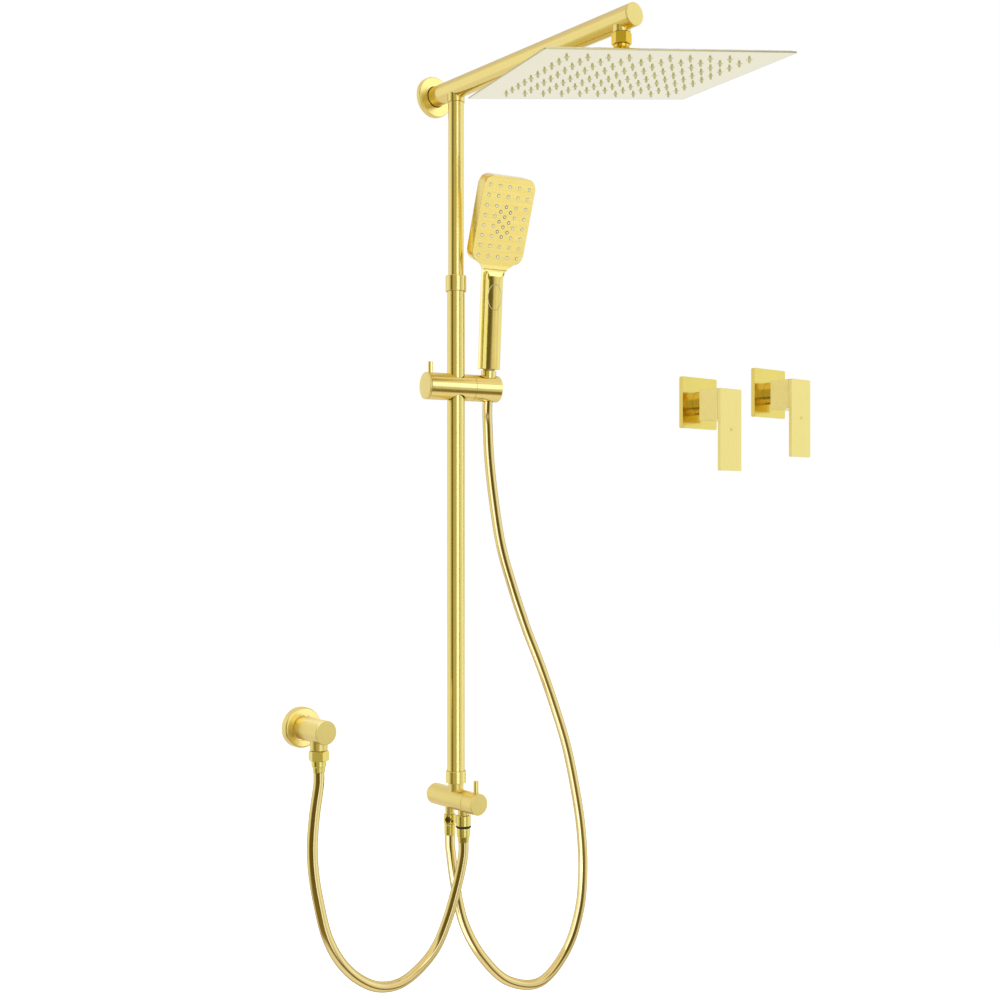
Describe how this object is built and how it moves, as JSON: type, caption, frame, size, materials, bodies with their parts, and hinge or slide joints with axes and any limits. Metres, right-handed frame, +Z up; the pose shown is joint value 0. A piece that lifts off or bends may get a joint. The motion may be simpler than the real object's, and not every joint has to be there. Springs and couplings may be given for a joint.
{
  "type": "rainfall shower column",
  "caption": "Wall-mounted rainfall shower column: arm with square rain head, telescopic riser, sliding hand-shower holder, hand shower on a hose, diverter, wall elbow and lever taps.",
  "frame": {"origin": "centre of the back face of the shower arm's wall anchor, on the wall's face", "axes": "+X right along the wall, +Y into the wall, +Z up"},
  "size_m": [1.0557, 0.5787, 1.3251],
  "materials": {
    "brushed_gold": "brushed satin gold over brass",
    "polished_gold": "polished gold plate",
    "hose_gold": "smooth glossy gold metallic hose",
    "polished_steel": "polished pale gold stainless steel",
    "raw_brass": "machined brass",
    "white_nylon": "moulded nylon",
    "black_rubber": "nitrile seal",
    "olive_rubber": "soft silicone nozzles",
    "clear_rubber": "translucent silicone nozzles"
  },
  "bodies": {
    "wall_set": {"arm_anchor": "raw_brass", "arm_flange": "brushed_gold", "shower_arm": "brushed_gold", "arm_end_cap": "brushed_gold", "outlet_spigot": "brushed_gold", "riser_socket": "brushed_gold", "upper_riser": "brushed_gold", "elbow_flange": "brushed_gold", "elbow_body": "brushed_gold", "elbow_nut": "brushed_gold", "elbow_ferrule": "brushed_gold", "hot_plate": "brushed_gold", "hot_sleeve": "brushed_gold", "hot_valve": "raw_brass", "cold_plate": "brushed_gold", "cold_sleeve": "brushed_gold", "cold_valve": "raw_brass"},
    "head_swivel": {"swivel_nut": "polished_gold", "swivel_ball": "polished_gold"},
    "head_gimbal": {"ball_seat": "white_nylon"},
    "rain_head": {"head_collar": "brushed_gold", "head_shell": "polished_steel", "head_face": "polished_steel", "nozzle_mat": "olive_rubber"},
    "lower_column": {"lower_riser": "brushed_gold", "riser_clamp_ring": "white_nylon", "lower_collar": "brushed_gold", "diverter_foot": "brushed_gold", "diverter_body": "brushed_gold", "rear_union": "brushed_gold", "union_screw": "raw_brass", "rear_ferrule": "brushed_gold", "front_union": "brushed_gold", "union_o_ring": "black_rubber", "front_nut": "brushed_gold", "front_ferrule": "brushed_gold", "handset_hose": "hose_gold", "supply_hose": "hose_gold"},
    "riser_lock_nut": {"riser_lock": "brushed_gold"},
    "diverter_control": {"diverter_knob": "brushed_gold", "diverter_pin": "brushed_gold", "diverter_cartridge": "white_nylon"},
    "slider_carriage": {"slider_bush": "white_nylon"},
    "slider": {"slider_body": "brushed_gold", "slider_end_cap": "brushed_gold"},
    "slider_lock": {"lock_cam": "raw_brass", "lock_pin": "brushed_gold"},
    "holder": {"handset_holder": "brushed_gold"},
    "hose_end": {"hose_cone": "brushed_gold"},
    "hand_shower": {"handset_inlet": "raw_brass", "handset_shell": "brushed_gold", "handset_face": "brushed_gold", "handset_nozzles": "clear_rubber"},
    "mode_control": {"mode_button": "brushed_gold"},
    "hot_lever": {"hot_block": "brushed_gold", "hot_blade": "brushed_gold", "hot_index": "polished_gold"},
    "cold_lever": {"cold_block": "brushed_gold", "cold_blade": "brushed_gold", "cold_index": "polished_gold"}
  },
  "joints": [
    {"name": "head_spin", "type": "hinge", "parent": "wall_set", "child": "head_swivel", "pos_m": [0, -0.381, -0.049], "axis": [0, 0, 1], "range_deg": [-22, 22]},
    {"name": "head_pitch", "type": "hinge", "parent": "head_swivel", "child": "head_gimbal", "pos_m": [0, -0.381, -0.049], "axis": [0.9134, -0.397, 0.0895], "range_deg": [-8, 8]},
    {"name": "head_roll", "type": "hinge", "parent": "head_gimbal", "child": "rain_head", "pos_m": [0, -0.381, -0.049], "axis": [0.3838, 0.9135, 0.1351], "range_deg": [-8, 8]},
    {"name": "riser_telescope", "type": "slide", "parent": "wall_set", "child": "lower_column", "axis": [0, 0, 1], "range_m": [-0.16, 0.01], "deforming": ["supply_hose"]},
    {"name": "riser_lock_turn", "type": "hinge", "parent": "lower_column", "child": "riser_lock_nut", "pos_m": [0, -0.055, -0.2754], "axis": [0, 0, 1], "range_deg": [-90, 0]},
    {"name": "diverter_turn", "type": "hinge", "parent": "lower_column", "child": "diverter_control", "pos_m": [0, -0.084, -1.001], "axis": [0, -1, 0], "range_deg": [-90, 90]},
    {"name": "slider_height", "type": "slide", "parent": "lower_column", "child": "slider_carriage", "axis": [0, 0, 1], "range_m": [-0.45, 0.03], "deforming": ["handset_hose"]},
    {"name": "slider_swivel", "type": "hinge", "parent": "slider_carriage", "child": "slider", "pos_m": [0, -0.055, -0.421], "axis": [0, 0, 1], "range_deg": [-35, 20]},
    {"name": "slider_lock_turn", "type": "hinge", "parent": "slider", "child": "slider_lock", "pos_m": [-0.03864, -0.04679, -0.421], "axis": [0.9781, -0.2079, 0], "range_deg": [-45, 0]},
    {"name": "holder_tilt", "type": "hinge", "parent": "slider", "child": "holder", "pos_m": [0.04989, -0.0656, -0.421], "axis": [0.9781, -0.2079, 0], "range_deg": [-1, 45]},
    {"name": "handset_lift", "type": "slide", "parent": "holder", "child": "hose_end", "axis": [-0.0163, -0.0767, 0.9969], "range_m": [0, 0.04]},
    {"name": "handset_turn", "type": "hinge", "parent": "hose_end", "child": "hand_shower", "pos_m": [0.04938, -0.06798, -0.3901], "axis": [-0.0163, -0.0767, 0.9969], "range_deg": [-2, 60]},
    {"name": "mode_press", "type": "slide", "parent": "hand_shower", "child": "mode_control", "axis": [0.2073, 0.9751, 0.0785], "range_m": [0, 0.002], "stiffness_N_per_m": 1500},
    {"name": "hot_turn", "type": "hinge", "parent": "wall_set", "child": "hot_lever", "pos_m": [0.571, -0.05, -0.408], "axis": [0, -1, 0], "range_deg": [-90, 0]},
    {"name": "cold_turn", "type": "hinge", "parent": "wall_set", "child": "cold_lever", "pos_m": [0.763, -0.05, -0.379], "axis": [0, -1, 0], "range_deg": [0, 90]}
  ]
}
